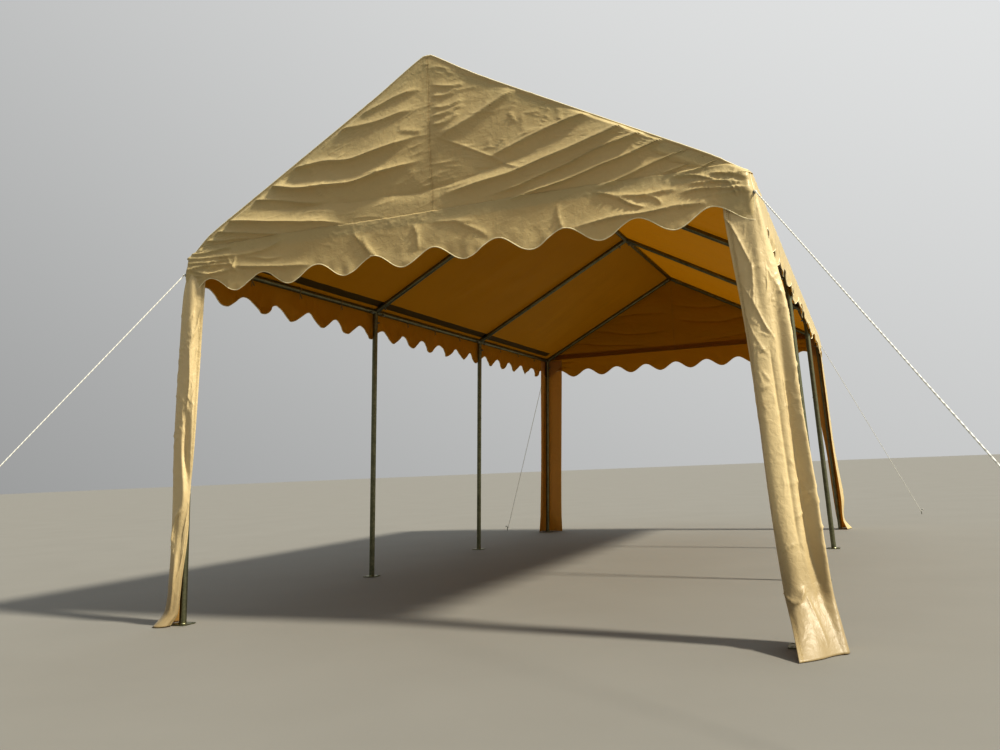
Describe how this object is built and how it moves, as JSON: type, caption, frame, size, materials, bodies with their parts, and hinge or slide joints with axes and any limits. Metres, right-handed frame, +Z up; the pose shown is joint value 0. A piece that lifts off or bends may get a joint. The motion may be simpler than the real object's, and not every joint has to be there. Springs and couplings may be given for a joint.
{
  "type": "party marquee",
  "caption": "Open-sided party marquee: a galvanised tube frame under a ridged cloth roof with closed gables, scalloped valances, cloth leg covers and guy ropes.",
  "frame": {"origin": "on the ground, in the middle of the plan of the tent and its pegs", "axes": "+Z up, +Y along the ridge towards the back gable, +X to the right as seen from the front gable"},
  "size_m": [5.2478, 10.2076, 2.8289],
  "materials": {
    "galvanised_tube": "hot-dip galvanised tube, dull grey with a soft sheen",
    "galvanised_fitting": "galvanised welded fitting, dull grey",
    "roof_cloth": "beige woven polyethylene cloth with a satin coating",
    "hanging_cloth": "beige woven polyethylene cloth with a satin coating, hemmed",
    "rope": "white laid polypropylene rope",
    "peg_steel": "zinc-plated round bar"
  },
  "bodies": {
    "root": {"post_left_1": "galvanised_tube", "post_left_2": "galvanised_tube", "post_left_3": "galvanised_tube", "post_left_4": "galvanised_tube", "post_right_1": "galvanised_tube", "post_right_2": "galvanised_tube", "post_right_3": "galvanised_tube", "post_right_4": "galvanised_tube", "rafter_left_1": "galvanised_tube", "rafter_left_2": "galvanised_tube", "rafter_left_3": "galvanised_tube", "rafter_left_4": "galvanised_tube", "rafter_right_1": "galvanised_tube", "rafter_right_2": "galvanised_tube", "rafter_right_3": "galvanised_tube", "rafter_right_4": "galvanised_tube", "eave_tube_left_1": "galvanised_tube", "eave_tube_left_2": "galvanised_tube", "eave_tube_left_3": "galvanised_tube", "eave_tube_right_1": "galvanised_tube", "eave_tube_right_2": "galvanised_tube", "eave_tube_right_3": "galvanised_tube", "ridge_tube_1": "galvanised_tube", "ridge_tube_2": "galvanised_tube", "ridge_tube_3": "galvanised_tube", "eave_fitting_left_1": "galvanised_fitting", "eave_fitting_left_2": "galvanised_fitting", "eave_fitting_left_3": "galvanised_fitting", "eave_fitting_left_4": "galvanised_fitting", "eave_fitting_right_1": "galvanised_fitting", "eave_fitting_right_2": "galvanised_fitting", "eave_fitting_right_3": "galvanised_fitting", "eave_fitting_right_4": "galvanised_fitting", "ridge_fitting_1": "galvanised_fitting", "ridge_fitting_2": "galvanised_fitting", "ridge_fitting_3": "galvanised_fitting", "ridge_fitting_4": "galvanised_fitting", "roof_panel_left": "roof_cloth", "roof_panel_right": "roof_cloth", "gable_front": "roof_cloth", "gable_back": "roof_cloth", "valance_left": "hanging_cloth", "valance_right": "hanging_cloth", "leg_cover_left_front": "hanging_cloth", "leg_cover_left_back": "hanging_cloth", "leg_cover_right_front": "hanging_cloth", "leg_cover_right_back": "hanging_cloth", "guy_rope_left_front": "rope", "guy_rope_left_back": "rope", "guy_rope_right_front": "rope", "guy_rope_right_back": "rope", "peg_left_front": "peg_steel", "peg_left_back": "peg_steel", "peg_right_front": "peg_steel", "peg_right_back": "peg_steel"}
  },
  "joints": []
}
